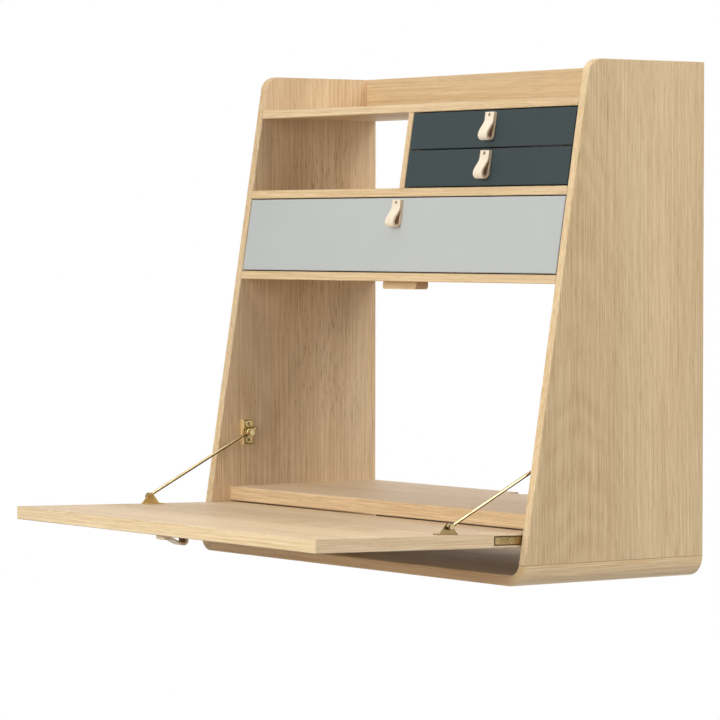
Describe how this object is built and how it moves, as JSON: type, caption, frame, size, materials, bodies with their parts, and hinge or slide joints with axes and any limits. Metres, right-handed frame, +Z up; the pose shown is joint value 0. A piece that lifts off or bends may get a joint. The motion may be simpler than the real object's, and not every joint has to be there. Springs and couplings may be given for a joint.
{
  "type": "fold down wall desk",
  "caption": "Slant-fronted wall-hung desk case with drawers, an open niche and a top tray; its flap swings down on sliding stays to form a writing surface.",
  "frame": {"origin": "midway between the round entries of the two keyhole hangers, on the wall plane", "axes": "+Z up, +Y into the wall, +X to the right of someone who faces the desk"},
  "size_m": [0.7, 0.5689, 0.63],
  "materials": {
    "oak": "clear matt oiled oak",
    "drawer_birch": "clear lacquered plywood",
    "beech": "raw",
    "dark_paint": "satin blue-grey paint",
    "grey_paint": "satin pale grey paint",
    "leather": "undyed vegetable-tanned leather",
    "brass": "brushed brass",
    "steel": "zinc plated"
  },
  "bodies": {
    "case": {"left_side_panel": "oak", "right_side_panel": "oak", "left_bottom_corner": "oak", "right_bottom_corner": "oak", "bottom_panel": "oak", "deck_board": "oak", "lower_shelf": "oak", "middle_shelf": "oak", "top_shelf": "oak", "niche_divider": "oak", "back_rail": "oak", "flap_stop_block": "oak", "drawer_runners": "oak", "drawer_stops": "oak", "hanger_plates": "steel", "hanger_screws": "steel", "case_dowels": "beech", "corner_splines": "beech", "left_case_hinge_leaf": "brass", "right_case_hinge_leaf": "brass", "hinge_pins": "brass", "left_stay_plate": "brass", "right_stay_plate": "brass", "case_brass_screws": "brass"},
    "flap": {"flap_board": "oak", "left_flap_hinge_leaf": "brass", "right_flap_hinge_leaf": "brass", "left_stay_bracket": "brass", "right_stay_bracket": "brass", "stay_rivets": "brass", "flap_brass_screws": "brass", "flap_pull": "leather", "flap_pull_screw": "brass"},
    "left_rod": {"left_stay_rod": "brass", "left_rod_stop": "brass"},
    "right_rod": {"right_stay_rod": "brass", "right_rod_stop": "brass"},
    "left_post": {"left_stay_post": "brass", "left_brake_screw": "brass"},
    "right_post": {"right_stay_post": "brass", "right_brake_screw": "brass"},
    "upper_drawer": {"upper_drawer_front": "dark_paint", "upper_drawer_sides": "drawer_birch", "upper_drawer_back": "drawer_birch", "upper_drawer_bottom": "drawer_birch", "upper_drawer_pull": "leather", "upper_drawer_pull_screw": "brass"},
    "lower_drawer": {"lower_drawer_front": "dark_paint", "lower_drawer_sides": "drawer_birch", "lower_drawer_back": "drawer_birch", "lower_drawer_bottom": "drawer_birch", "lower_drawer_pull": "leather", "lower_drawer_pull_screw": "brass"},
    "wide_drawer": {"wide_drawer_front": "grey_paint", "wide_drawer_sides": "drawer_birch", "wide_drawer_back": "drawer_birch", "wide_drawer_bottom": "drawer_birch", "wide_drawer_pull": "leather", "wide_drawer_pull_screw": "brass"}
  },
  "joints": [
    {"name": "flap_hinge", "type": "hinge", "parent": "case", "child": "flap", "pos_m": [0, -0.26245, -0.5491], "axis": [-1, 0, 0], "range_deg": [0, 98]},
    {"name": "left_rod_pivot", "type": "hinge", "parent": "flap", "child": "left_rod", "pos_m": [-0.3305, -0.37158, -0.52881], "axis": [-1, 0, 0], "range_deg": [-49, 0]},
    {"name": "left_post_pivot", "type": "hinge", "parent": "case", "child": "left_post", "pos_m": [-0.3305, -0.21379, -0.44933], "axis": [-1, 0, 0], "range_deg": [0, 49]},
    {"name": "right_rod_pivot", "type": "hinge", "parent": "flap", "child": "right_rod", "pos_m": [0.3305, -0.37158, -0.52881], "axis": [-1, 0, 0], "range_deg": [-49, 0]},
    {"name": "right_post_pivot", "type": "hinge", "parent": "case", "child": "right_post", "pos_m": [0.3305, -0.21379, -0.44933], "axis": [-1, 0, 0], "range_deg": [0, 49]},
    {"name": "upper_drawer_slide", "type": "slide", "parent": "case", "child": "upper_drawer", "axis": [0, -1, 0], "range_m": [0, 0.12]},
    {"name": "lower_drawer_slide", "type": "slide", "parent": "case", "child": "lower_drawer", "axis": [0, -1, 0], "range_m": [0, 0.13]},
    {"name": "wide_drawer_slide", "type": "slide", "parent": "case", "child": "wide_drawer", "axis": [0, -1, 0], "range_m": [0, 0.14]}
  ],
  "couplings": [
    {"joint": "left_rod_pivot", "follows": "flap_hinge", "ratio": -0.5},
    {"joint": "left_post_pivot", "follows": "flap_hinge", "ratio": 0.5},
    {"joint": "right_rod_pivot", "follows": "flap_hinge", "ratio": -0.5},
    {"joint": "right_post_pivot", "follows": "flap_hinge", "ratio": 0.5}
  ]
}
